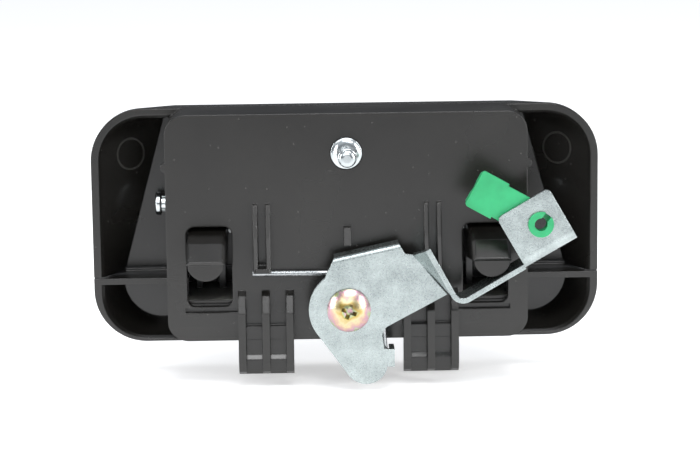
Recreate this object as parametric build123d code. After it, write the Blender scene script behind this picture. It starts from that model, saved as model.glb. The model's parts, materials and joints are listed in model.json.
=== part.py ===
from build123d import *
import os
from math import acos, atan2, cos, hypot, radians, sin, tan

# Exterior flap handle of a car door, seen from the street along -Y.
# Frame: X along the handle, +Y out to the street, +Z up. The origin is on the axis of the
# mounting stud, at the back wall's inboard face, where the stud's shank starts.
# All lengths are in millimetres.

# ---- overall sizes -------------------------------------------------------------------------
handle_length = 165.0          # along X, over the rim
handle_height = 76.5           # along Z, over the rim
stud_below_top = 12.8          # stud axis below the handle's top edge
rim_corner_radius = 17.0
box_depth = 21.0               # back wall to the rim's seat on the door skin
hood_depth = 17.0              # rim's seat to the street face
wall = 2.5                     # moulding wall

# ---- rim and street face -------------------------------------------------------------------
rim_width_side = 3.4           # rim from its outer edge to the hollow, at the ends
rim_width_top = 3.0
rim_width_bottom = 1.8
rim_edge_height = 3.5          # straight edge before the bevel starts
rim_inner_round = 1.0
face_inset_top = 0.6           # the street face is smaller than the rim by these
face_inset_bottom = 3.0
face_half_top = 64.5           # half length of the street face at its top corners
face_half_bottom = 80.0
face_radius_top = 11.0
face_radius_bottom = 15.0
crease_inset = 2.3             # inner crease inside the street face's outline
crease_top_shift = 3.0         # crease's top corners, further in than the street face's
crease_radius_top = 3.0
crease_step = 0.7              # the flat inside the crease lies this much deeper

# ---- seam between hood and flap ------------------------------------------------------------
seam_below_stud = 42.8         # top of the flap's closing wall
seam_gap = 0.5
flap_wall = 2.0

# ---- box behind the hood -------------------------------------------------------------------
box_length = 115.0
box_bottom_below_stud = 60.0
box_corner_radius = 6.5
box_flap_clearance = 1.5       # box sides end this far behind the flap's rim
back_lip_height = 4.7          # sloped strip along the back wall's lower edge
back_lip_set = 1.6

# ---- windows in the back wall --------------------------------------------------------------
window_centre = 43.95
window_width = 14.5
window_height = 25.8
window_top_below_stud = 22.9
window_radius = 2.6
groove_width = 17.2
groove_height = 1.5
groove_depth = 1.6
groove_below_window = 0.4
groove_overrun = 0.6           # past the window's outer side

# ---- flap hinge ----------------------------------------------------------------------------
hinge_y = 30.0                 # pin axis outboard of the back wall
hinge_below_stud = 19.4
pin_radius = 2.5
pin_running_clearance = 0.06
pin_seat_clearance = 0.02
pin_head_radius = 3.9
pin_head_height = 2.0
pin_head_standoff = 1.4        # knurled shank left showing under the head
pin_tail = 1.6                 # shank past the far boss
pin_tail_chamfer = 0.6
pin_head_round = 0.6
knurl_depth = 0.18
knurl_count = 16
knurl_length = 3.2
pin_boss_radius = 4.6
pin_boss_height = 1.4
hub_radius = 5.0
spool_radius = 3.6
spool_end = 29.0               # spool's free end, from the middle of the handle
flap_opening = 16.0            # degrees of travel
flap_swing_clearance = 0.35

# ---- flap arms and noses -------------------------------------------------------------------
arm_outset = 0.5               # arm's middle, outside the window's
arm_width = 11.9
keel_width = 11.0
nose_reach = 21.5              # nose tip inboard of the back wall
nose_edge_below_stud = 30.8
nose_top_below_stud = 25.6
keel_bottom_below_stud = 36.8
keel_setback = 1.0
keel_length = 31.5
keel_roundness = 0.75          # depth of the keel's round part, as a share of its half width
nose_chamfer = 0.9
nose_root_high = (-2.0, 4.3)   # (y, z) from the hinge
nose_crest = (2.0, 1.3)        # y from the back wall, z from the nose's top
nose_brow = 5.0                # top edge, outboard of the tip
nose_lip = (0.8, -0.9)         # (y, z) from the tip
nose_belly = (6.0, -4.0)       # y from the back wall, z from the tip
nose_root_low = (-4.0, -10.0)  # (y, z) from the hinge
keel_overlap = 1.0             # keel into the nose
floor_below_stud = 47.0        # top of the flap's floor inside the box
floor_thickness = 1.3
floor_side_clearance = 0.6
floor_back_clearance = 0.7
arm_rib_width = 2.4
arm_rib_offset = 3.8           # each side of the arm's middle
arm_rib_back = 5.5             # ribs' back edge, inboard of the hinge

# ---- ribs on the back wall -----------------------------------------------------------------
rest_rib_thickness = 1.4
rest_rib_centres = (25.1, 29.2)
rest_rib_top = 15.6
rest_rib_height = 7.5
rest_rib_toe = 1.6             # height where the ramp starts
rest_rib_toe_drop = 0.4
rest_rib_knee = 0.55           # share of the height reached half way down
mark_rib_top = 23.1
mark_rib_bottom = 28.9
mark_rib_width = 2.2
mark_rib_height = 5.0
mark_rib_toe_drop = 0.3

nub_radius = 1.5               # locating nubs on the box's sides
nub_length = 2.0
nub_below_stud = 3.8

# ---- bottom hooks --------------------------------------------------------------------------
hook_rib_centres = (18.6, 26.2, 33.8)
hook_rib_thickness = 2.4
hook_top_below_stud = 43.4
hook_reach = 10.0              # past the box's lower edge
hook_height = 6.4
hook_knee = 0.55               # share of the height reached at the knee
hook_knee_drop = 1.4
hook_crest_drop = 6.5          # where the full height starts
hook_tip_bevels = ((0.0, 4.0), (1.6, 1.0), (3.2, 0.0))   # (y from the crest, z from the tip)
hook_foot_low = -0.4           # foot's ends, above the box's lower edge
hook_foot_high = 2.6
web_thickness = 2.2
web_thickness_high = 1.2
web_step_low = 4.6             # above the hook's tip
web_step_high = 6.0
web_join = 1.0                 # lower web's top, above the box's lower edge
web_top = 5.2
web_top_depth = 2.6
skin_thickness = 1.0           # door skin that the hooks hold

# ---- mounting stud -------------------------------------------------------------------------
stud_radius = 3.0              # M6
stud_length = 15.0
stud_flange_radius = 5.0
stud_flange_thickness = 1.2
stud_head_radius = 5.6
stud_head_thickness = 2.6
stud_boss_radius = 8.0
stud_tip_run = 1.2             # chamfer along the shank
stud_tip_drop = 1.008          # chamfer across the shank

# ---- crank pivot ---------------------------------------------------------------------------
crank_pivot_below_stud = 48.2
pivot_boss_radius = 8.8
pivot_boss_height = 9.0
boss_wall = 1.6
washer_thickness = 1.0
washer_radius = 7.0
sleeve_radius = 4.0
sleeve_clearance = 0.05
loose_fit = 0.1                # sleeve over the screw, washer over the sleeve
crank_end_play = 0.1
screw_radius = 3.0             # M6
screw_head_radius = 6.85
screw_head_height = 3.4
screw_head_edge = 0.6          # straight edge under the dome
screw_in_insert = 0.02         # screw's clearance in the insert
screw_length = 11.0
screw_recess_length = 5.9
screw_recess_width = 1.3
screw_recess_depth = 2.2
screw_recess_taper = 0.45      # recess's length at its bottom, as a share of its mouth's
screw_recess_turn = 20.0
insert_radius = 4.2
insert_length = 9.0

# ---- bell crank (places in the plate are (x, z) from the pivot's axis) ----------------------
sheet = 1.6
crank_back_radius = 12.6       # plate's edge round the pivot
crank_back_start = 126.0       # degrees, where that edge meets the shoulder
lobe_radius = 6.8
lobe_centre = (5.3, -17.1)
lobe_end_angle = -15.0         # degrees
shoulder = (-4.5, 16.6)        # left end of the stiffening flange
flange_end = (15.9, 20.9)
notch = (17.8, 17.6)
wall_top_at_plate = (20.3, 17.2)
wall_top_at_edge = (24.4, 20.6)
plate_heel = (31.0, 4.5)       # plate's lower corner, on the upright wall
waist_low = (10.4, -8.2)
waist_high = (12.6, -5.2)
waist_bow = (-0.35, 0.3)       # waist's middle, off the line between its ends
strip_angle = 29.8             # degrees, strip against the handle's length
strip_below_pivot = 14.13      # pivot axis to the strip's middle plane
strip_width = 12.9             # plate's back face to the pad's front face
strip_corner = 31.0            # along the strip, from the pivot's foot on it
strip_corner_radius = 2.6
pad_start = 54.6               # along the strip
strip_join = 0.05              # strip into the pad's section
pad_length = 18.5
pad_width = 18.4
pad_corner_radius = 1.8
pad_bend_radius = 3.2
pad_hole_radius = 3.75
pad_hole_along = 10.8
pad_hole_up = 9.05
flange_height = 6.5
tab_height = 7.0
tab_low = 18.4                 # tab's ends below the pivot axis
tab_high = 12.8

# ---- crank spring --------------------------------------------------------------------------
crank_wire_radius = 0.9
crank_spring_gap = 0.6         # coil to boss
crank_spring_pitch = 1.95
crank_spring_turns = 2.25      # less the slant of its leg
spring_seat_clearance = 0.05
crank_leg_depth = 6.6          # tab's leg, inboard of the back wall
crank_leg_slant = 4.4          # degrees, tab's leg off the vertical
crank_leg_overhang = 0.4       # tab's leg, past the tab
rest_leg_overhang = 0.3        # other leg's end, past the rest ribs

# ---- flap springs --------------------------------------------------------------------------
flap_wire_radius = 0.65
flap_spring_radius = 4.6
flap_spring_pitch = 1.5
flap_spring_turns = 5
flap_leg_angle = 7.0           # degrees, leg under the flap's lug, below the horizontal
wall_leg_angle = 27.0          # degrees, leg against the back wall, above the horizontal
flap_leg_length = 18.0
flap_spring_side_gap = 1.3     # first coil to the arm; its leg slants towards the arm
lug_y = (13.0, 16.5)
lug_width = 2.4
lug_height = 3.4

# ---- bump stops ----------------------------------------------------------------------------
stop_radius = 1.7
stop_stem_radius = 1.0
stop_bracket_thickness = 2.0
stop_height = 5.0
stop_gap = 0.1
stop_bracket_clearance = 0.5   # bracket to the arm's side, which swings down past it
stop_bracket_depth = 14.0      # from the back wall's inboard face
stop_y = 9.0
stop_round = 0.5
stop_button_inset = 0.3
stop_button_height = 0.9

# ---- rod clip ------------------------------------------------------------------------------
rod_radius = 2.0               # latch rod
clip_clearance = 0.05
clip_slot = 2.2
clip_thickness = 2.0
clip_arm_length = 23.4
clip_arm_width = 12.2
clip_arm_angle = 150.7         # degrees, anticlockwise from +X seen from inboard
clip_arm_step = 0.7            # arm is this much narrower each side near its bush
clip_step_at = 14.3
clip_gap = 0.15                # arm to pad
clip_lip_gap = 0.15            # lip to pad
clip_lip_height = 0.9
clip_lip_step = 0.2            # lip past the pad's hole
clip_slot_angle = 52.0         # degrees, as the arm's
clip_jaw_height = 4.6
clip_jaw_wall = 1.8
clip_jaw_setback = 3.0         # jaws' end, short of the arm's end
clip_jaw_bite = 0.5            # jaw's mouth, narrower than the rod each side
clip_rod_lift = 0.3            # rod above the arm
clip_corner_radius = 1.0
clip_end_lip = 1.6
clip_end_lip_height = 1.8
clip_end_lip_inset = 1.0
clip_bar = (3.4, 1.2)          # cross bar under the rod, from the arm's end
clip_bar_half = 2.0
clip_bar_height = 0.2

# ---- levels and places worked out from the sizes above -------------------------------------
half_length = handle_length / 2
top_z = stud_below_top
bottom_z = top_z - handle_height
rim_y = box_depth
face_y = box_depth + hood_depth
hollow_y = face_y - wall
seam_z = -seam_below_stud
hinge_z = -hinge_below_stud
seam_radius = seam_below_stud - hinge_below_stud
box_half = box_length / 2
boss_end = box_half + pin_boss_height
knurl_end = knurl_length - boss_end - pin_head_standoff
box_bottom_z = -box_bottom_below_stud
box_side_end_y = rim_y - box_flap_clearance
floor_z = -floor_below_stud
pivot_z = -crank_pivot_below_stud
plate_back_y = -pivot_boss_height - washer_thickness - crank_end_play
plate_front_y = plate_back_y - sheet
pad_front_y = plate_back_y - strip_width
pad_back_y = pad_front_y + sheet
nose_y = -nose_reach
arm_centre = window_centre + arm_outset
crank_spring_radius = pivot_boss_radius + crank_spring_gap + crank_wire_radius
rest_rib_bottom_z = pivot_z + crank_spring_radius + crank_wire_radius + spring_seat_clearance
crank_leg_swing = radians(crank_leg_slant)
tab_x = (crank_spring_radius / cos(crank_leg_swing) + tab_low * tan(crank_leg_swing)
         + crank_wire_radius / cos(crank_leg_swing) + spring_seat_clearance)
stop_x = box_half - wall - floor_side_clearance - stop_radius
pad_hole_place = (pad_start + pad_hole_along, pad_hole_up)
root = 0.5                     # how far ribs and bosses reach into the wall they stand on
past = 1.0                     # how far a cut runs past what it cuts
overlap = 0.1                  # how far joined solids run into each other
big = 400.0


# ---- helpers -------------------------------------------------------------------------------
def block(x0, x1, y0, y1, z0, z1):
    """A box between two corners."""
    return Pos((x0 + x1) / 2, (y0 + y1) / 2, (z0 + z1) / 2) * Box(x1 - x0, y1 - y0, z1 - z0)


def rod_x(radius, x0, x1, y, z):
    """A cylinder along X."""
    return Pos((x0 + x1) / 2, y, z) * Rot(0, 90, 0) * Cylinder(radius, abs(x1 - x0))


def rod_y(radius, y0, y1, x, z):
    """A cylinder along Y."""
    return Pos(x, (y0 + y1) / 2, z) * Rot(90, 0, 0) * Cylinder(radius, abs(y1 - y0))


def rod_z(radius, z0, z1, x, y):
    """A cylinder along Z."""
    return Pos(x, y, (z0 + z1) / 2) * Cylinder(radius, abs(z1 - z0))


def prism_x(points, x0, x1):
    """A (y, z) outline pushed along X from x0 to x1."""
    outline = Polyline(*[(x0, y, z) for y, z in points], close=True)
    return extrude(make_face(outline), amount=x1 - x0, dir=(1, 0, 0))


def plate_y(outline, y0, y1):
    """A closed (x, z) outline at y0, pushed along Y to y1."""
    return extrude(make_face(outline), amount=y1 - y0, dir=(0, 1, 0))


def rounded(y, corners, radii):
    """A closed outline with rounded corners, in the plane at y."""
    return FilletPolyline(*[(x, y, z) for x, z in corners], radius=radii, close=True)


def ring_outline(y, half_top, half_bottom, z_top, z_bottom, radius_top, radius_bottom):
    """The handle's rounded outline, wider at its foot, in the plane at y."""
    corners = [(-half_top, z_top), (half_top, z_top), (half_bottom, z_bottom), (-half_bottom, z_bottom)]
    return rounded(y, corners, [radius_top, radius_top, radius_bottom, radius_bottom])


def both_sides(solid):
    """A solid and its mirror image across the middle of the handle."""
    return solid + mirror(solid, about=Plane.YZ)


def one_solid(shape):
    """The single solid of a shape."""
    solids = shape.solids()
    assert len(solids) == 1, f"expected one solid, found {len(solids)}"
    return solids[0]


# ---- the raised body that hood and flap are cut from ---------------------------------------
def raised_body():
    """The outer form: rim edge, bevel and street face, solid."""
    rim = ring_outline(rim_y, half_length, half_length, top_z, bottom_z,
                       rim_corner_radius, rim_corner_radius)
    edge = ring_outline(rim_y + rim_edge_height, half_length, half_length, top_z, bottom_z,
                        rim_corner_radius, rim_corner_radius)
    face = ring_outline(face_y, face_half_top, face_half_bottom, top_z - face_inset_top,
                        bottom_z + face_inset_bottom, face_radius_top, face_radius_bottom)
    body = loft([make_face(rim), make_face(edge)], ruled=True)
    body += loft([make_face(edge), make_face(face)], ruled=True)
    return body


def raised_hollow():
    """The hollow behind the street face, open at the rim."""
    round_in = rim_inner_round
    mouth = ring_outline(rim_y, half_length - rim_width_side + round_in,
                         half_length - rim_width_side + round_in,
                         top_z - rim_width_top + round_in, bottom_z + rim_width_bottom - round_in,
                         rim_corner_radius - rim_width_top + round_in,
                         rim_corner_radius - rim_width_top + round_in)
    throat_args = (half_length - rim_width_side, half_length - rim_width_side,
                   top_z - rim_width_top, bottom_z + rim_width_bottom,
                   rim_corner_radius - rim_width_top, rim_corner_radius - rim_width_top)
    throat = ring_outline(rim_y + round_in, *throat_args)
    crease = ring_outline(hollow_y, face_half_top - crease_inset - crease_top_shift,
                          face_half_bottom - crease_inset, top_z - face_inset_top - crease_inset,
                          bottom_z + face_inset_bottom + crease_inset,
                          crease_radius_top, face_radius_bottom - crease_inset)
    hollow = loft([make_face(mouth), make_face(throat)], ruled=True)
    hollow += loft([make_face(throat), make_face(crease)], ruled=True)
    hollow += plate_y(crease, hollow_y, hollow_y + crease_step)
    return hollow


def below_seam(gap):
    """Everything under the seam: flat inboard of the hinge, concentric with it outboard."""
    flat = block(-big, big, -big, big, -big, seam_z + gap)
    swept = block(-big, big, hinge_y, big, -big, hinge_z)
    return flat + (swept - rod_x(seam_radius - gap, -big, big, hinge_y, hinge_z))


# ---- housing -------------------------------------------------------------------------------
def box_shell():
    """The box behind the hood: back, top and sides, open below."""
    outer = ring_outline(0, box_half, box_half, top_z, box_bottom_z,
                         box_corner_radius, box_corner_radius)
    inner_z = box_bottom_z - 3 * box_corner_radius
    inner = ring_outline(wall, box_half - wall, box_half - wall, top_z - rim_width_top, inner_z,
                         box_corner_radius - wall, box_corner_radius - wall)
    shell = plate_y(outer, 0, hollow_y + wall / 2) - plate_y(inner, wall, face_y + wall)
    shell &= block(-big, big, -big, rim_y, -big, big) + raised_body()
    low_front = block(-big, big, box_side_end_y, big, -big, seam_z + seam_gap)
    lip_top = box_bottom_z + back_lip_height
    lip = prism_x([(-past, lip_top), (0, lip_top), (back_lip_set, box_bottom_z - past),
                   (-past, box_bottom_z - past)], -big, big)
    return shell - low_front - lip


def window_cuts():
    """One window and the groove under it, at the right-hand side."""
    z1 = -window_top_below_stud
    z0 = z1 - window_height
    x0 = window_centre - window_width / 2
    x1 = window_centre + window_width / 2
    opening = rounded(-past, [(x0, z1), (x1, z1), (x1, z0), (x0, z0)], window_radius)
    groove_top = z0 - groove_below_window
    groove = block(x0 - groove_width + window_width, x1 + groove_overrun, -past, groove_depth,
                   groove_top - groove_height, groove_top)
    return plate_y(opening, -past, wall + past) + groove


def rest_ribs():
    """The pair of ramped ribs and the bridge that the crank spring's leg bears on."""
    ribs = None
    top = -rest_rib_top
    knee = (top + rest_rib_bottom_z) / 2
    side = [(root, top), (-rest_rib_toe, top - rest_rib_toe_drop), (-rest_rib_knee * rest_rib_height, knee),
            (-rest_rib_height, rest_rib_bottom_z), (root, rest_rib_bottom_z)]
    for centre in rest_rib_centres:
        rib = prism_x(side, centre - rest_rib_thickness / 2, centre + rest_rib_thickness / 2)
        ribs = rib if ribs is None else ribs + rib
    bridge = block(*rest_rib_centres, -rest_rib_height, root,
                   rest_rib_bottom_z, rest_rib_bottom_z + rest_rib_thickness)
    return ribs + bridge


def bottom_hook():
    """Three J-shaped ribs and their stepped web, which hook behind the door skin."""
    top = -hook_top_below_stud
    tip = box_bottom_z - hook_reach
    web_back = -skin_thickness
    side = [(root, top), (-hook_knee * hook_height, top - hook_knee_drop),
            (-hook_height, top - hook_crest_drop)]
    side += [(y - hook_height, tip + z) for y, z in hook_tip_bevels]
    side += [(web_back, tip), (web_back, box_bottom_z + hook_foot_low),
             (root, box_bottom_z + hook_foot_high)]
    hook = None
    for centre in hook_rib_centres:
        rib = prism_x(side, centre - hook_rib_thickness / 2, centre + hook_rib_thickness / 2)
        hook = rib if hook is None else hook + rib
    x0 = hook_rib_centres[0]
    x1 = hook_rib_centres[-1]
    thick = web_back - web_thickness
    thin = web_back - web_thickness_high
    join = box_bottom_z + web_join
    lower_web = prism_x([(web_back, tip), (thick, tip), (thick, tip + web_step_low),
                         (thin, tip + web_step_high), (thin, join), (web_back, join)], x0, x1)
    upper_web = block(x0, x1, -web_top_depth, root, join, box_bottom_z + web_top)
    return hook + lower_web + upper_web


def stop_bracket():
    """The little shelf inside the box that holds a bump stop."""
    z0 = floor_z + stop_gap + stop_height
    x0 = arm_centre + arm_width / 2 + stop_bracket_clearance
    shelf = block(x0, box_half - wall + root, wall - root, stop_bracket_depth,
                  z0, z0 + stop_bracket_thickness)
    return shelf - rod_z(stop_stem_radius, z0 - past, z0 + stop_bracket_thickness + past,
                         stop_x, stop_y)


def housing():
    """Hood, rim and box as one moulding."""
    hood = raised_body() - raised_hollow()
    body = hood + box_shell()
    body -= below_seam(seam_gap) & block(-big, big, box_side_end_y, big, -big, 0)
    body += both_sides(rod_x(pin_boss_radius, box_half - root, boss_end, hinge_y, hinge_z))
    pivot_boss = rod_y(pivot_boss_radius, -pivot_boss_height, root, 0, pivot_z)
    relief = (rod_y(pivot_boss_radius - boss_wall, -big, -boss_wall, 0, pivot_z)
              - rod_y(insert_radius + boss_wall, -big, 0, 0, pivot_z))
    body += pivot_boss - relief
    body += rod_y(stud_boss_radius, wall - root,
                  stud_flange_thickness + stud_head_thickness + boss_wall, 0, 0)
    body += both_sides(rest_ribs() + bottom_hook() + stop_bracket())
    body += prism_x([(root, -mark_rib_top), (-mark_rib_height / 2, -mark_rib_top - mark_rib_toe_drop),
                     (-mark_rib_height, -mark_rib_bottom), (root, -mark_rib_bottom)],
                    -mark_rib_width / 2, mark_rib_width / 2)
    body += both_sides(rod_y(nub_radius, 0, nub_length, box_half, -nub_below_stud))
    body -= both_sides(window_cuts())
    pin_hole = pin_radius + pin_seat_clearance
    body -= rod_x(pin_hole, -boss_end - past, boss_end + past, hinge_y, hinge_z)
    body -= rod_x(pin_radius + knurl_depth, -boss_end - past, knurl_end + overlap, hinge_y, hinge_z)
    body -= rod_y(insert_radius, -big, -pivot_boss_height + insert_length, 0, pivot_z)
    body -= mounting_stud()
    return one_solid(body)


# ---- flap ----------------------------------------------------------------------------------
def swing_limit(drop):
    """How far out a point at this drop below the hinge may sit and still clear the hood."""
    swing = radians(flap_opening)
    reach = hollow_y - flap_swing_clearance - hinge_y
    return hinge_y + (reach - drop * sin(swing)) / cos(swing)


def nose():
    """The right-hand nose: a chamfered block over a round keel."""
    x0 = arm_centre - arm_width / 2
    x1 = arm_centre + arm_width / 2
    nose_top = -nose_top_below_stud
    nose_edge = -nose_edge_below_stud
    head = prism_x([(hinge_y + nose_root_high[0], hinge_z + nose_root_high[1]),
                    (nose_crest[0], nose_top + nose_crest[1]), (nose_y + nose_brow, nose_top),
                    (nose_y, nose_edge), (nose_y + nose_lip[0], nose_edge + nose_lip[1]),
                    (nose_belly[0], nose_edge + nose_belly[1]),
                    (hinge_y + nose_root_low[0], hinge_z + nose_root_low[1])], x0, x1)
    upper = [e for e in head.edges() if abs(abs(e.center().X - arm_centre) - arm_width / 2) < 0.01
             and e.center().Y < 0 and e.center().Z > nose_edge + overlap]
    head = chamfer(upper, nose_chamfer)
    keel_z = -keel_bottom_below_stud
    half = keel_width / 2
    shoulder_z = keel_z + half * keel_roundness
    keel_y = nose_y + keel_setback
    left = arm_centre - half
    right = arm_centre + half
    sides = Polyline((left, keel_y, shoulder_z), (left, keel_y, nose_edge + keel_overlap),
                     (right, keel_y, nose_edge + keel_overlap), (right, keel_y, shoulder_z))
    low = ThreePointArc((right, keel_y, shoulder_z), (arm_centre, keel_y, keel_z),
                        (left, keel_y, shoulder_z))
    keel = extrude(make_face(sides + low), amount=keel_length, dir=(0, 1, 0))
    return head + keel


def arm():
    """The right-hand arm: nose, hub and spool on the pin, two ribs down to the floor."""
    x0 = arm_centre - arm_width / 2
    x1 = arm_centre + arm_width / 2
    low = seam_radius - seam_gap
    back = hinge_y - arm_rib_back
    drop = hinge_z - floor_z
    side = [(back, hinge_z), (back, floor_z - floor_thickness / 2),
            (swing_limit(drop), floor_z - floor_thickness / 2), (swing_limit(low), hinge_z - low),
            (swing_limit(hub_radius), hinge_z - hub_radius), (hinge_y + spool_radius, hinge_z)]
    ribs = None
    for rib_x in (arm_centre - arm_rib_offset, arm_centre + arm_rib_offset):
        rib = prism_x(side, rib_x - arm_rib_width / 2, rib_x + arm_rib_width / 2)
        ribs = rib if ribs is None else ribs + rib
    hub = rod_x(hub_radius, x0, x1, hinge_y, hinge_z)
    spool = rod_x(spool_radius, spool_end, x0 + root, hinge_y, hinge_z)
    lug_z = flap_leg_height(lug_y[1]) + flap_wire_radius + spring_seat_clearance
    lug = block(x0 - lug_width, x0 + root, *lug_y, lug_z, lug_z + lug_height)
    return nose() + ribs + hub + spool + lug


def flap_leg_height(y):
    """Height of the flap spring's lower leg at a place along Y."""
    turn = radians(flap_leg_angle)
    start_y = hinge_y + flap_spring_radius * sin(turn)
    start_z = hinge_z - flap_spring_radius * cos(turn)
    return start_z - (start_y - y) * tan(turn)


def flap():
    """The chin, its closing wall, the floor inside the box and the two arms."""
    chin = (raised_body() - raised_hollow()) & below_seam(0)
    front = hollow_y + crease_step + root
    floor_half = box_half - wall - floor_side_clearance
    inner = floor_half - flap_wall
    closing = raised_body() & block(inner, big, rim_y, front, seam_z - flap_wall, seam_z)
    riser = block(inner, floor_half, rim_y, front, floor_z - floor_thickness, seam_z)
    floor = block(-floor_half, floor_half, wall + floor_back_clearance, front,
                  floor_z - floor_thickness, floor_z)
    body = chin + floor + both_sides(closing + riser + arm())
    body -= rod_x(pin_radius + pin_running_clearance, -box_half, box_half, hinge_y, hinge_z)
    return one_solid(body)


# ---- hinge pin -----------------------------------------------------------------------------
def hinge_pin():
    """Headed steel pin, knurled under its head where it bites the left boss."""
    left = -boss_end - pin_head_standoff
    right = boss_end + pin_tail
    shank = rod_x(pin_radius, left, right, hinge_y, hinge_z)
    shank = chamfer(shank.edges().filter_by(GeomType.CIRCLE).sort_by(Axis.X)[-1],
                    pin_tail_chamfer)
    head = rod_x(pin_head_radius, left - pin_head_height, left, hinge_y, hinge_z)
    head = fillet(head.edges().filter_by(GeomType.CIRCLE), pin_head_round)
    body = shank + head
    for i in range(knurl_count):
        turn = 360.0 / knurl_count * i
        ridge = Pos(left + knurl_length / 2, pin_radius, 0) * Rot(45, 0, 0) \
            * Box(knurl_length, knurl_depth, knurl_depth)
        body += Pos(0, hinge_y, hinge_z) * Rot(turn, 0, 0) * ridge
    return one_solid(body)


# ---- mounting stud -------------------------------------------------------------------------
def mounting_stud():
    """M6 stud with a flange flush with the back wall and a hexagonal head moulded in behind."""
    shank = rod_y(stud_radius, -stud_length, overlap, 0, 0)
    tip = shank.edges().filter_by(GeomType.CIRCLE).sort_by(Axis.Y)[0]
    shank = chamfer(tip, stud_tip_run, stud_tip_drop)
    flange = rod_y(stud_flange_radius, 0, stud_flange_thickness, 0, 0)
    hexagon = Plane(origin=(0, stud_flange_thickness, 0), x_dir=(1, 0, 0), z_dir=(0, 1, 0)) \
        * RegularPolygon(stud_head_radius, 6)
    head = extrude(hexagon, amount=stud_head_thickness)
    return one_solid(shank + flange + head)


# ---- crank pivot pieces --------------------------------------------------------------------
def pivot_insert():
    """Brass insert for the pivot screw."""
    y0 = -pivot_boss_height
    outer = rod_y(insert_radius, y0, y0 + insert_length, 0, pivot_z)
    return one_solid(outer - rod_y(screw_radius, y0 - past, y0 + insert_length + past, 0, pivot_z))


def pivot_sleeve():
    """Steel sleeve that the crank turns on."""
    y1 = -pivot_boss_height
    y0 = plate_front_y - crank_end_play
    return one_solid(rod_y(sleeve_radius, y0, y1, 0, pivot_z)
                     - rod_y(screw_radius + loose_fit, y0 - past, y1 + past, 0, pivot_z))


def thrust_washer():
    """Washer between the boss and the crank."""
    y1 = -pivot_boss_height
    y0 = y1 - washer_thickness
    return one_solid(rod_y(washer_radius, y0, y1, 0, pivot_z)
                     - rod_y(sleeve_radius + loose_fit, y0 - past, y1 + past, 0, pivot_z))


def pivot_screw():
    """Truss-head machine screw with a cross recess."""
    seat = plate_front_y - crank_end_play
    dome_height = screw_head_height - screw_head_edge
    sphere_radius = (screw_head_radius ** 2 + dome_height ** 2) / (2 * dome_height)
    rim = rod_y(screw_head_radius, seat - screw_head_edge, seat, 0, pivot_z)
    dome = Pos(0, seat - screw_head_height + sphere_radius, pivot_z) * Sphere(sphere_radius)
    dome &= rod_y(screw_head_radius, seat - screw_head_height - past, seat - screw_head_edge, 0, pivot_z)
    head = rim + dome
    crown = seat - screw_head_height
    half = screw_recess_length / 2
    for turn in (screw_recess_turn, screw_recess_turn + 90):
        low = half * screw_recess_taper
        blade = Polyline((-half, -root, 0), (half, -root, 0), (low, screw_recess_depth, 0),
                         (-low, screw_recess_depth, 0), close=True)
        wing = Pos(0, 0, -screw_recess_width / 2) * extrude(make_face(blade), screw_recess_width,
                                                            dir=(0, 0, 1))
        head -= Pos(0, crown, pivot_z) * Rot(0, turn, 0) * wing
    shank = rod_y(screw_radius - screw_in_insert, seat - overlap, seat + screw_length, 0, pivot_z)
    return one_solid(head + shank)


# ---- bell crank ----------------------------------------------------------------------------
def along_strip(along, up):
    """(x, z) of a point measured along the strip from the pivot's foot on it, and up from it."""
    turn = radians(strip_angle)
    x = along * cos(turn) - (up - strip_below_pivot) * sin(turn)
    z = pivot_z + along * sin(turn) + (up - strip_below_pivot) * cos(turn)
    return x, z


def crank_plate():
    """The flat plate round the pivot, with its lobe."""
    def p(place):
        return (place[0], plate_front_y, pivot_z + place[1])

    reach = hypot(*lobe_centre)
    tangent = atan2(lobe_centre[1], lobe_centre[0]) - acos((crank_back_radius - lobe_radius) / reach)
    outward = (cos(tangent), sin(tangent))
    start = radians(crank_back_start)
    back_start = (crank_back_radius * cos(start), crank_back_radius * sin(start))
    back_end = (crank_back_radius * outward[0], crank_back_radius * outward[1])
    lobe_start = (lobe_centre[0] + lobe_radius * outward[0], lobe_centre[1] + lobe_radius * outward[1])
    lobe_low = (lobe_centre[0], lobe_centre[1] - lobe_radius)
    end = radians(lobe_end_angle)
    lobe_end = (lobe_centre[0] + lobe_radius * cos(end), lobe_centre[1] + lobe_radius * sin(end))
    waist_middle = ((waist_low[0] + waist_high[0]) / 2 + waist_bow[0],
                    (waist_low[1] + waist_high[1]) / 2 + waist_bow[1])
    edges = [Line(p(shoulder), p(back_start)),
             ThreePointArc(p(back_start), p((-crank_back_radius, 0)), p(back_end)),
             Line(p(back_end), p(lobe_start)),
             ThreePointArc(p(lobe_start), p(lobe_low), p(lobe_end)),
             Line(p(lobe_end), p(waist_low)),
             ThreePointArc(p(waist_low), p(waist_middle), p(waist_high)),
             Line(p(waist_high), p(plate_heel)),
             Line(p(plate_heel), p(wall_top_at_plate)),
             Line(p(wall_top_at_plate), p(notch)),
             Line(p(notch), p(flange_end)),
             Line(p(flange_end), p(shoulder))]
    return extrude(make_face(edges), amount=sheet, dir=(0, 1, 0))


def stiffening_flange():
    """The plate's top edge, bent towards the housing."""
    along = Vector(flange_end[0] - shoulder[0], flange_end[1] - shoulder[1], 0).normalized()
    inset = Vector(along.Y, -along.X, 0) * sheet
    corners = [shoulder, flange_end, (flange_end[0] + inset.X, flange_end[1] + inset.Y),
               (shoulder[0] + inset.X, shoulder[1] + inset.Y)]
    outline = Polyline(*[(x, plate_front_y, pivot_z + z) for x, z in corners], close=True)
    return extrude(make_face(outline), amount=sheet + flange_height, dir=(0, 1, 0))


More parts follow.
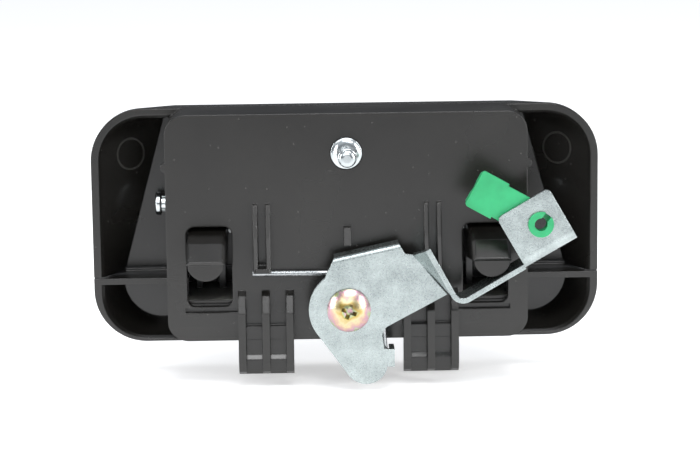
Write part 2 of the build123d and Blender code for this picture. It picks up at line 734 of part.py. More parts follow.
def wall_section(y, top):
    """Section of the upright wall and the strip, round their corner, in the plane at y."""
    corner = Vector(*along_strip(strip_corner, 0), 0)
    end = Vector(*along_strip(pad_start + strip_join, 0), 0)
    start = Vector(top[0], pivot_z + top[1], 0)
    first = (corner - start).normalized()
    second = (end - corner).normalized()
    across_first = Vector(-first.Y, first.X, 0)
    across_second = Vector(-second.Y, second.X, 0)
    mitre = (across_first + across_second) * (1 / (1 + across_first.dot(across_second)))
    half = sheet / 2
    points = [start + across_first * half, corner + mitre * half, end + across_second * half,
              end - across_second * half, corner - mitre * half, start - across_first * half]
    radii = [0, strip_corner_radius, 0, 0, strip_corner_radius + sheet, 0]
    return make_face(FilletPolyline(*[(q.X, y, q.Y) for q in points], radius=radii, close=True))


def rod_pad():
    """The far end of the strip and the pad bent up from its inboard edge."""
    turn = radians(strip_angle)
    origin = along_strip(pad_start, 0)
    frame = Plane(origin=(origin[0], 0, origin[1]), x_dir=(-sin(turn), 0, cos(turn)),
                  z_dir=(cos(turn), 0, sin(turn)))
    half = sheet / 2
    low = -plate_back_y
    high = -pad_front_y
    section = FilletPolyline((-half, low, 0), (-half, high, 0), (pad_width - half, high, 0),
                             (pad_width - half, high - sheet, 0), (half, high - sheet, 0),
                             (half, low, 0), radius=[0, pad_bend_radius, 0, 0, pad_bend_radius - sheet, 0],
                              close=True)
    pad = extrude(frame * make_face(section), amount=pad_length)
    far = [e for e in pad.edges().filter_by(Axis.Y)
           if abs(e.length - sheet) < 0.01 and frame.to_local_coords(e.center()).X > pad_width / 2]
    pad = fillet(far, pad_corner_radius)
    return pad - rod_y(pad_hole_radius, pad_front_y - past, pad_back_y + past,
                       *along_strip(*pad_hole_place))


def bell_crank():
    """Pressed steel lever: plate, flange, spring tab, upright wall, strip and rod pad."""
    plate = crank_plate() + stiffening_flange()
    flange_edges = [e for e in plate.edges()
                    if abs(e.center().Y - plate_front_y) < 0.01
                    and abs(e.center().Z - pivot_z - (shoulder[1] + flange_end[1]) / 2) < 0.3]
    plate = fillet(flange_edges, sheet)
    walls = loft([wall_section(plate_back_y, wall_top_at_plate),
                  wall_section(pad_front_y, wall_top_at_edge)], ruled=True)
    tab = block(lobe_centre[0], tab_x + sheet, plate_front_y, plate_back_y,
                pivot_z - tab_low, pivot_z - tab_high)
    tab += block(tab_x, tab_x + sheet, plate_front_y, plate_back_y + tab_height,
                 pivot_z - tab_low, pivot_z - tab_high)
    body = plate + walls + rod_pad() + tab
    body -= rod_y(sleeve_radius + sleeve_clearance, -big, big, 0, pivot_z)
    return one_solid(body)


# ---- springs -------------------------------------------------------------------------------
def torsion_spring(frame, radius, wire, pitch, turns, start, first_leg, last_leg):
    """A round-wire coil about a plane's axis with a straight leg at each end. Angles run from
    the plane's X away from its Y, and start is where the first leg leaves the coil."""
    helix = frame * Rot(0, 0, -start) * Helix(pitch, pitch * turns, radius, lefthand=True)
    spring = sweep(Plane(origin=helix @ 0, z_dir=helix % 0) * Circle(wire), path=helix,
                   is_frenet=True)
    spring += extrude(Plane(origin=helix @ 0, z_dir=(helix % 0) * -1) * Circle(wire),
                      amount=first_leg)
    spring += extrude(Plane(origin=helix @ 1, z_dir=helix % 1) * Circle(wire), amount=last_leg)
    return spring


def crank_spring():
    """Spring round the pivot boss: one leg under the rest ribs, one behind the crank's tab."""
    frame = Plane(origin=(0, -crank_leg_depth, pivot_z), x_dir=(1, 0, 0), z_dir=(0, 1, 0))
    turns = crank_spring_turns - crank_leg_slant / 360
    tab_leg = tab_low + crank_leg_overhang
    rest_leg = rest_rib_centres[-1] + rest_rib_thickness / 2 + rest_leg_overhang
    return one_solid(torsion_spring(frame, crank_spring_radius, crank_wire_radius,
                                    crank_spring_pitch, turns, crank_leg_slant, tab_leg, rest_leg))


def flap_spring():
    """Right-hand spring on the flap's spool: one leg under its lug, one against the back wall."""
    arm_side = arm_centre - arm_width / 2
    start_x = arm_side - flap_wire_radius - flap_spring_side_gap
    frame = Plane(origin=(start_x, hinge_y, hinge_z), x_dir=(0, 1, 0), z_dir=(-1, 0, 0))
    start = 270 + flap_leg_angle
    turns = flap_spring_turns + (90 - wall_leg_angle - start) / 360
    rise = radians(wall_leg_angle)
    wall_leg = (hinge_y + flap_spring_radius * sin(rise) - wall - 2 * flap_wire_radius) / cos(rise)
    return one_solid(torsion_spring(frame, flap_spring_radius, flap_wire_radius,
                                    flap_spring_pitch, turns, start, flap_leg_length, wall_leg))


# ---- bump stops ----------------------------------------------------------------------------
def bump_stop():
    """Rubber stop pushed up through its bracket, over the flap's floor."""
    z0 = floor_z + stop_gap
    z1 = z0 + stop_height
    z2 = z1 + stop_bracket_thickness
    foot = rod_z(stop_radius, z0, z1, stop_x, stop_y)
    foot = fillet(foot.edges().filter_by(GeomType.CIRCLE).sort_by(Axis.Z)[0], stop_round)
    stem = rod_z(stop_stem_radius, z1 - overlap, z2 + overlap, stop_x, stop_y)
    button = rod_z(stop_radius - stop_button_inset, z2, z2 + stop_button_height, stop_x, stop_y)
    return one_solid(foot + stem + button)


# ---- rod clip ------------------------------------------------------------------------------
def rod_clip():
    """Plastic clip: a split bush in the pad's hole, and an arm whose jaws close on the rod."""
    centre = along_strip(*pad_hole_place)
    front = pad_front_y - clip_lip_gap
    arm_y0 = pad_back_y + clip_gap
    arm_y1 = arm_y0 + clip_thickness
    here = Pos(centre[0], 0, centre[1])
    place = here * Rot(0, -clip_arm_angle, 0)
    bush = rod_y(pad_hole_radius - clip_clearance, front - clip_lip_height, arm_y0 + overlap, 0, 0)
    bush += rod_y(pad_hole_radius + clip_lip_step, front - clip_lip_height, front, 0, 0)
    bush -= block(0, big, -big, big, -clip_slot / 2, clip_slot / 2)
    bush = here * Rot(0, -clip_slot_angle, 0) * bush
    root_half = clip_arm_width / 2 - clip_arm_step
    tip_half = clip_arm_width / 2
    arm = rod_y(root_half, arm_y0, arm_y1, 0, 0)
    arm += block(0, clip_arm_length - past, arm_y0, arm_y1, -root_half, root_half)
    blade = block(clip_step_at, clip_arm_length, arm_y0, arm_y1, -tip_half, tip_half)
    corners = [e for e in blade.edges().filter_by(Axis.Y) if e.center().X > clip_arm_length - overlap]
    arm += fillet(corners, clip_corner_radius)
    lip_half = tip_half - clip_end_lip_inset
    arm += block(clip_arm_length - clip_end_lip, clip_arm_length, arm_y0,
                 arm_y1 + clip_end_lip_height, -lip_half, lip_half)
    jaw_half = rod_radius + clip_jaw_wall
    jaws = block(clip_step_at, clip_arm_length - clip_jaw_setback, arm_y1 - overlap,
                 arm_y1 + clip_jaw_height, -jaw_half, jaw_half)
    rod_line = arm_y1 + rod_radius + clip_rod_lift
    mouth_half = rod_radius - clip_jaw_bite
    jaws -= rod_x(rod_radius, -big, big, rod_line, 0)
    jaws -= block(-big, big, rod_line, big, -mouth_half, mouth_half)
    arm += jaws
    arm += block(clip_arm_length - clip_bar[0], clip_arm_length - clip_bar[1], arm_y0,
                 arm_y1 + clip_bar_height, -clip_bar_half, clip_bar_half)
    arm -= rod_x(rod_radius, clip_step_at - past, big, rod_line, 0)
    body = place * arm + bush
    body -= rod_y(rod_radius, -big, big, *centre)
    return one_solid(body)


# ---- the handle ----------------------------------------------------------------------------
right_spring = flap_spring()
right_stop = bump_stop()
nodes = {
    "housing": housing(),
    "flap": flap(),
    "hinge_pin": hinge_pin(),
    "flap_spring_right": right_spring,
    "flap_spring_left": mirror(right_spring, about=Plane.YZ),
    "bump_stop_right": right_stop,
    "bump_stop_left": mirror(right_stop, about=Plane.YZ),
    "mounting_stud": mounting_stud(),
    "pivot_insert": pivot_insert(),
    "thrust_washer": thrust_washer(),
    "pivot_sleeve": pivot_sleeve(),
    "pivot_screw": pivot_screw(),
    "crank_spring": crank_spring(),
    "bell_crank": bell_crank(),
    "rod_clip": rod_clip(),
}

os.makedirs("parts", exist_ok=True)
for name, solid in nodes.items():
    export_step(solid, f"parts/{name}.step")
    size = solid.bounding_box().size
    print(f"{name}: {solid.volume:.0f} mm3, {size.X:.1f} x {size.Y:.1f} x {size.Z:.1f} mm")
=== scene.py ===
# %% [markdown]
# Exterior flap handle of a car door, seen from inside the door. The mechanical model already
# exists as exact solids, so this lesson loads it as a fixed frame and spends its effort on
# what the eye reads: finishes, edges, threads and light. Everything is in metres.

# %% Load the frame
import json
import math
import bmesh
import bpy
from mathutils import Matrix, Vector


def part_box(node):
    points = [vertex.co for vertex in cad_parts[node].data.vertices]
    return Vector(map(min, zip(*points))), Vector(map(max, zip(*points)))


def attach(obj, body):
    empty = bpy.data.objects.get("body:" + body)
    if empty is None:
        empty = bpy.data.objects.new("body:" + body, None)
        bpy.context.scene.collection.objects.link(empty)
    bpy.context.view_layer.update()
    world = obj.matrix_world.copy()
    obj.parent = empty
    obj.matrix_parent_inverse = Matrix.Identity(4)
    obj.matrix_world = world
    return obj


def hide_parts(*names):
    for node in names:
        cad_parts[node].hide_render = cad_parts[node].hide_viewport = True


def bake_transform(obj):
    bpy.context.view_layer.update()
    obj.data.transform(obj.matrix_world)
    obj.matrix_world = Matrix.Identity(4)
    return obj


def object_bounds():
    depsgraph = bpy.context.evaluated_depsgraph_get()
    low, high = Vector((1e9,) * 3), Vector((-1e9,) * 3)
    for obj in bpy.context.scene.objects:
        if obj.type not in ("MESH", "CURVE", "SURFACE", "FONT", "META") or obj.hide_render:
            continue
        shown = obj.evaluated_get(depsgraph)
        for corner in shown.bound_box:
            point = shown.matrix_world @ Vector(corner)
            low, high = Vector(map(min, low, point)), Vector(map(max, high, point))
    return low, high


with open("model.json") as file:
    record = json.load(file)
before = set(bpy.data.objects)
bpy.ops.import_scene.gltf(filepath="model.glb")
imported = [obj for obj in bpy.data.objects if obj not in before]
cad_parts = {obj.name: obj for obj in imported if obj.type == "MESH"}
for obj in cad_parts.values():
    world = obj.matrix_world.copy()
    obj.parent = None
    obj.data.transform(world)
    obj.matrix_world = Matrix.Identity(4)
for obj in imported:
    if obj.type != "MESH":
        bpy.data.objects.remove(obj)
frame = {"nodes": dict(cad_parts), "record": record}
cad_low, cad_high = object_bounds()
nodes = frame["nodes"]
mounts = {mount["name"]: mount for mount in frame["record"]["mounts"]}
print("nodes:", len(nodes))

# %% [markdown]
# Colours are picked as sRGB hex values, as a paint chart gives them, but shaders work in
# linear light. One function turns one into the other, so no colour is converted twice.
# A second function adds a shader node: its settings are attributes, and its inputs are
# either plain values or sockets to link from.

# %% Helpers for colours and nodes
MM = 0.001


def linear(hex_colour):
    """An sRGB hex colour as a linear RGBA tuple."""
    values = [int(hex_colour[i:i + 2], 16) / 255 for i in (1, 3, 5)]
    return tuple(v / 12.92 if v <= 0.04045 else ((v + 0.055) / 1.055) ** 2.4 for v in values) + (1,)


def add(tree, kind, inputs=None, **settings):
    """Adds a node, sets its attributes, then sets or links its inputs by name or number."""
    node = tree.nodes.new("ShaderNode" + kind)
    for name, value in settings.items():
        setattr(node, name, value)
    for key, value in (inputs or {}).items():
        if isinstance(value, bpy.types.NodeSocket):
            tree.links.new(value, node.inputs[key])
        else:
            node.inputs[key].default_value = value
    return node


def ramp(tree, factor, stops):
    """A colour ramp's output; stops are (position, colour) pairs."""
    node = add(tree, "ValToRGB", {0: factor})
    while len(node.color_ramp.elements) < len(stops):
        node.color_ramp.elements.new(0.5)
    for element, (position, colour) in zip(node.color_ramp.elements, stops):
        element.position = position
        element.color = colour
    return node.outputs[0]


def grey(value):
    """A neutral colour for ramps that drive roughness or height."""
    return (value, value, value, 1)


def start_material(name):
    """A new material with its tree, its Principled shader and its object coordinates."""
    material = bpy.data.materials.new(name)
    material.use_nodes = True
    tree = material.node_tree
    place = add(tree, "TexCoord").outputs["Object"]
    return material, tree, tree.nodes["Principled BSDF"], place


print("white is", linear("#ffffff")[:3])

# %% [markdown]
# The housing and the flap are injection-moulded ABS, coloured black all through. A fine
# spark-eroded grain in the mould makes the surface satin. Where the melt flowed slower it
# is a little duller, so roughness drifts over centimetres. Handling leaves pale dust specks
# and hairline rubs, and grit settles on the flap's floor where it faces up. Each ejector pin
# of the mould leaves a shallow ring, a little paler where its edge has scuffed. Grain of
# 0.1 mm would vanish at this distance, so it is drawn at 0.5 mm with a very low height.

# %% Black moulded ABS
EJECTOR_X = 70.0 * MM
EJECTOR_Z = -2.7 * MM
EJECTOR_HALF_WIDTH = 4.1 * MM
EJECTOR_HALF_HEIGHT = 5.1 * MM
EJECTOR_Y = (24.0 * MM, 33.5 * MM)
RING_HALF_WIDTH = 0.07         # as a share of the ring's radius
DUSTY_Z = -47.0 * MM           # top of the flap's floor
DUSTY_REACH = 0.5 * MM
DUST_GRAIN = 0.9 * MM
UPWARD = 0.9                   # least Z of a normal that counts as facing up
DUST_COLOUR = "#8f8f89"
DUST_ROUGHER = 0.5             # roughness added under a full film of dust
SPECK_SPACING = 3.4 * MM
SPECK_SHARE = 0.16             # how far a speck goes to the dust's colour
SCUFF_SHARE = 0.09             # how far a ring does
FLOW_LENGTH = 28 * MM
RUB_TURN = (0, 0.5, 0)
RUB_SCALE = (60, 60, 2600)     # long along X and Y, 0.4 mm wide
RUB_SMOOTHER = -0.07
GRAIN_HEIGHT = 0.03 * MM
RING_DEPTH = 0.25 * MM
ABS_IOR = 1.53


def ejector_rings(tree, place):
    """A mask that is 1 on a thin ring at each ejector pin's place."""
    parts = add(tree, "SeparateXYZ", {0: place}).outputs
    side = add(tree, "Math", {0: parts[0]}, operation="ABSOLUTE").outputs[0]
    across = add(tree, "MapRange", {0: side, 1: EJECTOR_X, 2: EJECTOR_X + EJECTOR_HALF_WIDTH},
                 clamp=False).outputs[0]
    upward = add(tree, "MapRange", {0: parts[2], 1: EJECTOR_Z, 2: EJECTOR_Z + EJECTOR_HALF_HEIGHT},
                 clamp=False).outputs[0]
    flat = add(tree, "CombineXYZ", {0: across, 1: upward}).outputs[0]
    distance = add(tree, "VectorMath", {0: flat}, operation="LENGTH").outputs["Value"]
    ring = add(tree, "Math", {0: distance, 1: 1.0, 2: RING_HALF_WIDTH}, operation="COMPARE").outputs[0]
    middle = sum(EJECTOR_Y) / 2
    reach = (EJECTOR_Y[1] - EJECTOR_Y[0]) / 2
    inside = add(tree, "Math", {0: parts[1], 1: middle, 2: reach}, operation="COMPARE").outputs[0]
    return add(tree, "Math", {0: ring, 1: inside}, operation="MULTIPLY").outputs[0]


def settled_dust(tree, place):
    """A mask of dust and grit lying on the flap's floor, where it faces up."""
    height = add(tree, "SeparateXYZ", {0: place}).outputs[2]
    level = add(tree, "Math", {0: height, 1: DUSTY_Z, 2: DUSTY_REACH}, operation="COMPARE").outputs[0]
    normal = add(tree, "TexCoord").outputs["Normal"]
    facing = add(tree, "SeparateXYZ", {0: normal}).outputs[2]
    upward = add(tree, "Math", {0: facing, 1: UPWARD}, operation="GREATER_THAN").outputs[0]
    film = add(tree, "TexNoise", {"Vector": place, "Scale": 1 / DUST_GRAIN, "Detail": 5}).outputs[0]
    film = add(tree, "MapRange", {0: film, 1: 0.35, 2: 0.68, 3: 0.12, 4: 0.95}).outputs[0]
    lying = add(tree, "Math", {0: level, 1: upward}, operation="MULTIPLY").outputs[0]
    return add(tree, "Math", {0: lying, 1: film}, operation="MULTIPLY").outputs[0]


def black_abs(name, colour, cloud, roughness, grain_mm, edge_mm):
    """Moulded ABS with grain, flow marks, dust, rubs and ejector rings."""
    material, tree, shader, place = start_material(name)
    flow = add(tree, "TexNoise", {"Vector": place, "Scale": 1 / FLOW_LENGTH, "Detail": 3}).outputs[0]
    dust = add(tree, "TexVoronoi", {"Vector": place, "Scale": 1 / SPECK_SPACING}).outputs["Distance"]
    dust = ramp(tree, dust, [(0.0, grey(1)), (0.055, grey(1)), (0.075, grey(0))])
    rings = ejector_rings(tree, place)
    specks = add(tree, "Math", {0: dust, 1: SPECK_SHARE}, operation="MULTIPLY").outputs[0]
    scuffed = add(tree, "Math", {0: rings, 1: SCUFF_SHARE, 2: specks}, operation="MULTIPLY_ADD").outputs[0]
    settled = settled_dust(tree, place)
    share = add(tree, "Math", {0: scuffed, 1: settled}, operation="MAXIMUM").outputs[0]
    base = ramp(tree, flow, [(0.3, linear(colour)), (0.75, linear(cloud))])
    mixed = add(tree, "Mix", {0: share, 6: base, 7: linear(DUST_COLOUR)}, data_type="RGBA")
    stretched = add(tree, "Mapping", {0: place, "Rotation": RUB_TURN, "Scale": RUB_SCALE})
    rub = add(tree, "TexNoise", {"Vector": stretched.outputs[0], "Scale": 1.0, "Detail": 2}).outputs[0]
    rub = ramp(tree, rub, [(0.66, grey(0)), (0.72, grey(1))])
    wear = add(tree, "Math", {0: rub, 1: RUB_SMOOTHER, 2: roughness}, operation="MULTIPLY_ADD").outputs[0]
    dull = add(tree, "MapRange", {0: flow, 1: 0.3, 2: 0.75, 3: -0.04, 4: 0.06}).outputs[0]
    rough = add(tree, "Math", {0: wear, 1: dull}, operation="ADD").outputs[0]
    rough = add(tree, "Math", {0: settled, 1: DUST_ROUGHER, 2: rough}, operation="MULTIPLY_ADD").outputs[0]
    rounded = add(tree, "Bevel", {"Radius": edge_mm * MM}, samples=6).outputs[0]
    grain = add(tree, "TexNoise", {"Vector": place, "Scale": 1 / (grain_mm * MM), "Detail": 4})
    fine = add(tree, "Bump", {"Strength": 0.35, "Distance": GRAIN_HEIGHT, "Height": grain.outputs[0],
                              "Normal": rounded}).outputs[0]
    sunk = add(tree, "Bump", {"Strength": 0.8, "Distance": RING_DEPTH, "Height": rings,
                              "Normal": fine}, invert=True).outputs[0]
    tree.links.new(mixed.outputs[2], shader.inputs["Base Color"])
    tree.links.new(rough, shader.inputs["Roughness"])
    tree.links.new(sunk, shader.inputs["Normal"])
    shader.inputs["IOR"].default_value = ABS_IOR
    return material


housing_abs = black_abs("abs_black_satin", "#131210", "#1d1c1a", 0.24, 0.5, 0.6)
flap_abs = black_abs("abs_black_flap", "#12110f", "#1b1a18", 0.22, 0.6, 0.6)
print("materials:", housing_abs.name, flap_abs.name)

# %% [markdown]
# The bell crank is rolled low-carbon sheet, blanked, bent and then electroplated with bright
# zinc. Plating grows in tiny crystals, which gives a cool grey with a fine salt-and-pepper
# sparkle. The share of sparkle also sets how much roughness and height vary from crystal to
# crystal. The stud and the pin are turned steel with the same plating, in finer crystals,
# smoother and more mirror-like. Drawn spring wire is darker.

# %% Zinc plate
ZINC_CLOUD = 6 * MM
CRYSTAL_HEIGHT = 0.03 * MM
ROUGHNESS_SPREAD = 0.2         # at a full share of sparkle
CRYSTAL_STRENGTH = 0.6         # at a full share of sparkle


def zinc(name, light, dark, roughness, crystal_mm, sparkle_share, edge_mm):
    """Bright zinc plating with a crystal sparkle and soft clouding."""
    material, tree, shader, place = start_material(name)
    crystals = add(tree, "TexVoronoi", {"Vector": place, "Scale": 1 / (crystal_mm * MM)})
    sparkle = add(tree, "SeparateColor", {0: crystals.outputs["Color"]}).outputs[0]
    clouds = add(tree, "TexNoise", {"Vector": place, "Scale": 1 / ZINC_CLOUD, "Detail": 5}).outputs[0]
    tone = add(tree, "Mix", {0: sparkle_share, 2: clouds, 3: sparkle}).outputs[0]
    base = ramp(tree, tone, [(0.25, linear(dark)), (0.7, linear(light))])
    spread = ROUGHNESS_SPREAD * sparkle_share
    rough = add(tree, "MapRange", {0: sparkle, 3: roughness - spread, 4: roughness + spread}).outputs[0]
    rounded = add(tree, "Bevel", {"Radius": edge_mm * MM}, samples=6).outputs[0]
    bump = add(tree, "Bump", {"Strength": CRYSTAL_STRENGTH * sparkle_share, "Distance": CRYSTAL_HEIGHT,
                              "Height": sparkle, "Normal": rounded}).outputs[0]
    shader.inputs["Metallic"].default_value = 1.0
    tree.links.new(base, shader.inputs["Base Color"])
    tree.links.new(rough, shader.inputs["Roughness"])
    tree.links.new(bump, shader.inputs["Normal"])
    return material


zinc_sheet = zinc("zinc_plated_sheet", "#b4bdbc", "#8f9797", 0.29, 0.4, 0.22, 0.35)
zinc_turned = zinc("zinc_plated_turned", "#cdd2d3", "#a9b0b2", 0.17, 0.15, 0.12, 0.1)
spring_steel = zinc("spring_steel_drawn", "#b9bcbd", "#7d8183", 0.30, 0.3, 0.3, 0.02)
print("materials:", zinc_sheet.name, zinc_turned.name, spring_steel.name)

# %% [markdown]
# The pivot screw has yellow chromate over its zinc. The film's thickness varies, so light
# interferes into gold, pink and green patches. The bands here follow the distance from the
# screw's axis, bent by noise, because the film is thinner towards the rim. They are part of
# the surface, so they stay put when the view turns.

# %% Yellow chromate
PATCH = 3.2 * MM
PATCH_BEND = 1.2               # how many bands the patches push the film through
CHROMATE_ROUGHNESS = 0.27


def yellow_chromate(name, axis_x, axis_z, band_mm):
    """Yellow zinc with patches of interference colour round an axis along Y."""
    material, tree, shader, place = start_material(name)
    parts = add(tree, "SeparateXYZ", {0: place}).outputs
    across = add(tree, "Math", {0: parts[0], 1: axis_x}, operation="SUBTRACT").outputs[0]
    upward = add(tree, "Math", {0: parts[2], 1: axis_z}, operation="SUBTRACT").outputs[0]
    flat = add(tree, "CombineXYZ", {0: across, 1: upward}).outputs[0]
    distance = add(tree, "VectorMath", {0: flat}, operation="LENGTH").outputs["Value"]
    rings = add(tree, "Math", {0: distance, 1: 1 / (band_mm * MM)}, operation="MULTIPLY").outputs[0]
    patches = add(tree, "TexNoise", {"Vector": place, "Scale": 1 / PATCH, "Detail": 4}).outputs[0]
    film = add(tree, "Math", {0: patches, 1: PATCH_BEND, 2: rings}, operation="MULTIPLY_ADD").outputs[0]
    film = add(tree, "Math", {0: film, 1: 1.0}, operation="FRACT").outputs[0]
    base = ramp(tree, film, [(0.0, linear("#b39a52")), (0.28, linear("#cfc09a")),
                             (0.48, linear("#c3a294")), (0.64, linear("#b992a0")),
                             (0.82, linear("#a3b18d")), (1.0, linear("#b39a52"))])
    rounded = add(tree, "Bevel", {"Radius": 0.15 * MM}, samples=6).outputs[0]
    bump = add(tree, "Bump", {"Strength": 0.2, "Distance": 0.03 * MM, "Height": patches,
                              "Normal": rounded}).outputs[0]
    shader.inputs["Metallic"].default_value = 1.0
    shader.inputs["Roughness"].default_value = CHROMATE_ROUGHNESS
    tree.links.new(base, shader.inputs["Base Color"])
    tree.links.new(bump, shader.inputs["Normal"])
    return material


screw_low, screw_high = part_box("pivot_screw")
screw_x = (screw_low.x + screw_high.x) / 2
screw_z = (screw_low.z + screw_high.z) / 2
yellow_zinc = yellow_chromate("zinc_yellow_chromate", screw_x, screw_z, 6.0)
print("screw axis at x %.1f, z %.1f mm" % (screw_x / MM, screw_z / MM))

# %% [markdown]
# The rod clip is moulded acetal. It is slightly translucent, so light enters a little and
# softens its edges, which subsurface scattering gives. The bump stops are rubber and the
# insert is turned brass; both are mostly hidden and get simpler finishes.

# %% Green acetal, rubber and brass
def simple_finish(name, light, dark, roughness, grain_mm, metallic, edge_mm):
    """A finish with a cloudy colour, fine grain and softened edges."""
    material, tree, shader, place = start_material(name)
    clouds = add(tree, "TexNoise", {"Vector": place, "Scale": 1 / (5 * MM), "Detail": 3}).outputs[0]
    base = ramp(tree, clouds, [(0.3, linear(dark)), (0.7, linear(light))])
    grain = add(tree, "TexNoise", {"Vector": place, "Scale": 1 / (grain_mm * MM), "Detail": 2})
    rounded = add(tree, "Bevel", {"Radius": edge_mm * MM}, samples=6).outputs[0]
    bump = add(tree, "Bump", {"Strength": 0.2, "Distance": 0.02 * MM, "Height": grain.outputs[0],
                              "Normal": rounded}).outputs[0]
    shader.inputs["Metallic"].default_value = metallic
    shader.inputs["Roughness"].default_value = roughness
    tree.links.new(base, shader.inputs["Base Color"])
    tree.links.new(bump, shader.inputs["Normal"])
    return material, shader


green_acetal, green_shader = simple_finish("acetal_green", "#2c9f68", "#228c59", 0.38, 0.4, 0.0, 0.2)
green_shader.inputs["Subsurface Weight"].default_value = 0.25
green_shader.inputs["Subsurface Scale"].default_value = 1.2 * MM
green_shader.inputs["Subsurface Radius"].default_value = (0.35, 1.0, 0.5)
stop_rubber = simple_finish("rubber_black", "#242424", "#161616", 0.75, 0.3, 0.0, 0.2)[0]
turned_brass = simple_finish("brass_turned", "#d9b45c", "#b8913f", 0.3, 0.3, 1.0, 0.05)[0]
print("materials:", green_acetal.name, stop_rubber.name, turned_brass.name)

# %% [markdown]
# Each solid keeps its exact mesh and only gets a finish in its material slots.

# %% Finishes on the solids
FINISHES = {
    "housing": housing_abs, "flap": flap_abs, "hinge_pin": zinc_turned,
    "flap_spring_right": spring_steel, "flap_spring_left": spring_steel,
    "crank_spring": spring_steel, "bump_stop_right": stop_rubber, "bump_stop_left": stop_rubber,
    "mounting_stud": zinc_turned, "pivot_insert": turned_brass, "thrust_washer": zinc_turned,
    "pivot_sleeve": zinc_turned, "pivot_screw": yellow_zinc, "bell_crank": zinc_sheet,
    "rod_clip": green_acetal,
}
for name, finish in FINISHES.items():
    slots = nodes[name].material_slots
    for slot in slots:
        slot.material = finish
    print(name, "->", finish.name, "in", len(slots), "slot(s)")

# %% [markdown]
# The mounting stud has a rolled M6 thread, 1 mm from crest to crest. The solid leaves it a
# plain cylinder, so the stud is made again here as one turned mesh: rings of points along
# the axis, whose radius follows the thread's helix, with a plain domed point and the flange.
# A helix in mesh points is exact, where a screw modifier would leave open ends.

# %% Threaded stud
PITCH = 1.0 * MM
THREAD_DEPTH = 0.54 * MM
AROUND = 72
STEP = 0.08 * MM
DOME_LENGTH = 1.1 * MM
DOME_FLATNESS = 0.8            # share of the squared radius that the dome takes off
RUN_OUT = 1.0 * MM             # where the thread starts to rise, from the wall
SHANK_START = 0.45 * MM
FLANGE_RADIUS = 5.0 * MM
FLANGE_EDGE = 0.25 * MM        # straight edge of the flange
FLANGE_TOP = 0.4 * MM
FLANGE_BEVEL = 0.2 * MM

stud_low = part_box("mounting_stud")[0]
stud_radius = mounts["mounting_stud"]["dims"]["r_mm"] * MM
stud_length = -stud_low.y


def crest(phase):
    """Height of the thread's profile, 0 in the root and 1 on the crest."""
    return min(1.0, max(0.0, 1.35 - abs(phase - 0.5) * 3.2))


def stud_radius_at(y, angle):
    """Radius of the stud's surface at a distance from the wall and an angle round the axis."""
    from_tip = stud_length - y
    if from_tip < DOME_LENGTH:
        rounding = 1 - from_tip / DOME_LENGTH
        return (stud_radius - 0.5 * THREAD_DEPTH) * math.sqrt(1 - DOME_FLATNESS * rounding ** 2)
    run_in = 0.5 + 0.5 * min(1.0, (from_tip - DOME_LENGTH) / PITCH)
    run_out = min(1.0, max(0.0, (y - RUN_OUT) / PITCH))
    phase = (y / PITCH - angle / (2 * math.pi)) % 1
    root = stud_radius - THREAD_DEPTH
    return root + THREAD_DEPTH * crest(phase) * run_in * (0.35 + 0.65 * run_out)


def make_stud():
    """The threaded stud as one closed mesh, with its flange against the wall."""
    rings = int((stud_length - 0.3 * MM) / STEP)
    places = [(0.0, FLANGE_RADIUS), (FLANGE_EDGE, FLANGE_RADIUS),
              (FLANGE_TOP, FLANGE_RADIUS - FLANGE_BEVEL)]
    mesh = bmesh.new()
    loops = []
    for y, radius in places:
        loops.append([mesh.verts.new((radius * math.cos(a), -y, radius * math.sin(a)))
                      for a in (2 * math.pi * i / AROUND for i in range(AROUND))])
    for k in range(rings + 1):
        y = SHANK_START + (stud_length - SHANK_START) * k / rings
        loop = []
        for i in range(AROUND):
            a = 2 * math.pi * i / AROUND
            radius = stud_radius_at(y, a)
            loop.append(mesh.verts.new((radius * math.cos(a), -y, radius * math.sin(a))))
        loops.append(loop)
    for first, second in zip(loops, loops[1:]):
        for i in range(AROUND):
            j = (i + 1) % AROUND
            mesh.faces.new((first[i], first[j], second[j], second[i]))
    mesh.faces.new(loops[0])
    mesh.faces.new(list(reversed(loops[-1])))
    bmesh.ops.recalc_face_normals(mesh, faces=mesh.faces)
    data = bpy.data.meshes.new("stud_threaded")
    mesh.to_mesh(data)
    mesh.free()
    for face in data.polygons:
        face.use_smooth = len(face.vertices) == 4
    data.materials.append(zinc_turned)
    stud = bpy.data.objects.new("stud_threaded", data)
    bpy.context.scene.collection.objects.link(stud)
    return stud


stud = make_stud()
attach(stud, "housing")
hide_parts("mounting_stud")
print("stud:", len(stud.data.polygons), "faces, %.1f mm long" % (stud_length / MM))

# %% [markdown]
# Each flap spring winds up as the flap opens: one leg stays against the back wall, and the
# other goes with the flap. The coil lies round the hinge's own axis. Here each spring is only
# copied as a mesh of its own in drawn spring steel and its solid is hidden; the copy keeps
# the solid's shape and is not wound up or blended between housing and flap.


def winding_spring(name):
    """A copy of a spring in drawn spring steel, baked in place, with its solid hidden."""
    mesh = nodes[name].data.copy()
    mesh.materials.clear()
    mesh.materials.append(spring_steel)
    spring = bpy.data.objects.new(name + "_winding", mesh)
    bpy.context.scene.collection.objects.link(spring)
    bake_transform(spring)
    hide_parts(name)
    return spring


for name in ("flap_spring_right", "flap_spring_left"):
    print(winding_spring(name).name, "blends from housing to flap")

# %% [markdown]
# A product photograph of this kind is taken in a white light tent, with soft sources above,
# in front and at the sides. The world does the tent, brighter in front and overhead, and the
# area lights add the direction that shows form in black plastic. The floor glows, so that it
# reads as plain white paper. Flat walls that face the viewer mirror the floor in front of
# them, so the glow falls off there, or black plastic would look grey.

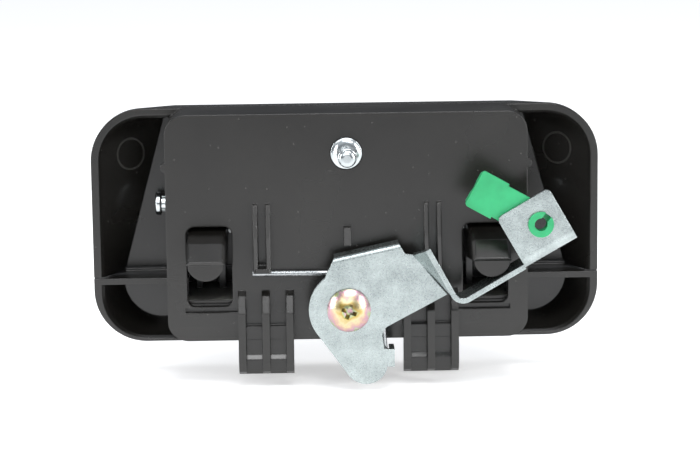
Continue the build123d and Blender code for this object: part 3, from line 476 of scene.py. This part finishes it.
# %% Floor, world and lights
FLOOR_HALF = 6.0
FLOOR_GAP = 2.5 * MM           # under the lowest piece
GLOW_Y = (-0.09, -0.22)        # the glow falls off between these
GLOW = (0.46, 0.01)
SOFTBOXES = {
    "softbox_top": ((0.08, -0.36, 0.62), 0.5, 0.22, 3.0),
    "softbox_left": ((-0.70, -0.34, 0.20), 0.16, 0.5, 3.0),
    "softbox_right": ((0.62, -0.42, 0.22), 0.16, 0.5, 3.6),
    "softbox_front": ((-0.10, -0.75, 0.40), 0.7, 0.4, 1.7),
    "softbox_street": ((-0.45, 0.55, 0.95), 0.6, 0.4, 3),
}


def make_floor():
    """A wide pale floor just under the lowest piece."""
    half = FLOOR_HALF
    level = cad_low.z - FLOOR_GAP
    data = bpy.data.meshes.new("studio_floor")
    corners = [(-half, -half, level), (half, -half, level), (half, half, level), (-half, half, level)]
    data.from_pydata(corners, [], [(0, 1, 2, 3)])
    material, tree, shader, place = start_material("paper_white")
    shader.inputs["Base Color"].default_value = linear("#f6f6f6")
    shader.inputs["Roughness"].default_value = 0.9
    shader.inputs["Specular IOR Level"].default_value = 0.0
    shader.inputs["Emission Color"].default_value = linear("#ffffff")
    depth = add(tree, "SeparateXYZ", {0: place}).outputs[1]
    glow = add(tree, "MapRange", {0: depth, 1: GLOW_Y[0], 2: GLOW_Y[1], 3: GLOW[0], 4: GLOW[1]}).outputs[0]
    tree.links.new(glow, shader.inputs["Emission Strength"])
    data.materials.append(material)
    floor = bpy.data.objects.new("studio_floor", data)
    bpy.context.scene.collection.objects.link(floor)
    return floor


def area_light(name, place, target, width, height, power):
    """A rectangular softbox aimed at a point."""
    light = bpy.data.lights.new(name, "AREA")
    light.shape = "RECTANGLE"
    light.size = width
    light.size_y = height
    light.energy = power
    lamp = bpy.data.objects.new(name, light)
    lamp.location = place
    lamp.rotation_euler = (Vector(target) - Vector(place)).to_track_quat("-Z", "Y").to_euler()
    bpy.context.scene.collection.objects.link(lamp)
    return lamp


make_floor()
centre = (cad_low + cad_high) / 2
for name, (place, width, height, power) in SOFTBOXES.items():
    area_light(name, place, centre, width, height, power)
world = bpy.data.worlds.new("light_tent")
world.use_nodes = True
tree = world.node_tree
parts = add(tree, "SeparateXYZ", {0: add(tree, "TexCoord").outputs["Generated"]}).outputs
front = add(tree, "MapRange", {0: parts[1], 1: 0.6, 2: -0.7, 3: 0.05, 4: 0.30}).outputs[0]
overhead = add(tree, "MapRange", {0: parts[2], 1: 0.10, 2: 0.8, 3: 0.0, 4: 0.55}).outputs[0]
brightness = add(tree, "Math", {0: front, 1: overhead}, operation="ADD").outputs[0]
tree.links.new(brightness, tree.nodes["Background"].inputs["Strength"])
tree.nodes["Background"].inputs["Color"].default_value = linear("#f4f8ff")
bpy.context.scene.world = world
bpy.context.scene.view_settings.view_transform = "Standard"

# %% [markdown]
# The camera looks from inside the door, a little from above and a hair from the left, with
# a long lens. Its axes are worked out from azimuth, elevation and roll, so each can be
# changed by itself.

# %% Camera
LOOK_AT = Vector((0.897, 0, -25.203)) * MM
DISTANCE = 749 * MM
AZIMUTH = math.radians(-1.3)
ELEVATION = math.radians(9.0)
ROLL = math.radians(0.7)
LENS = 121.2

ahead = Vector((-math.sin(AZIMUTH) * math.cos(ELEVATION), math.cos(AZIMUTH) * math.cos(ELEVATION),
                -math.sin(ELEVATION)))
right = Vector((math.cos(AZIMUTH), math.sin(AZIMUTH), 0))
up = right.cross(ahead)
right_rolled = right * math.cos(ROLL) - up * math.sin(ROLL)
up_rolled = right * math.sin(ROLL) + up * math.cos(ROLL)
turn = Matrix((right_rolled, up_rolled, -ahead)).transposed().to_4x4()
camera_data = bpy.data.cameras.new("camera")
camera_data.lens = LENS
camera_data.sensor_width = 36
camera_data.clip_start = 0.01
camera = bpy.data.objects.new("camera", camera_data)
camera.matrix_world = Matrix.Translation(LOOK_AT - ahead * DISTANCE) @ turn
bpy.context.scene.collection.objects.link(camera)
bpy.context.scene.camera = camera
print("camera at", [round(v / MM) for v in camera.location], "mm")
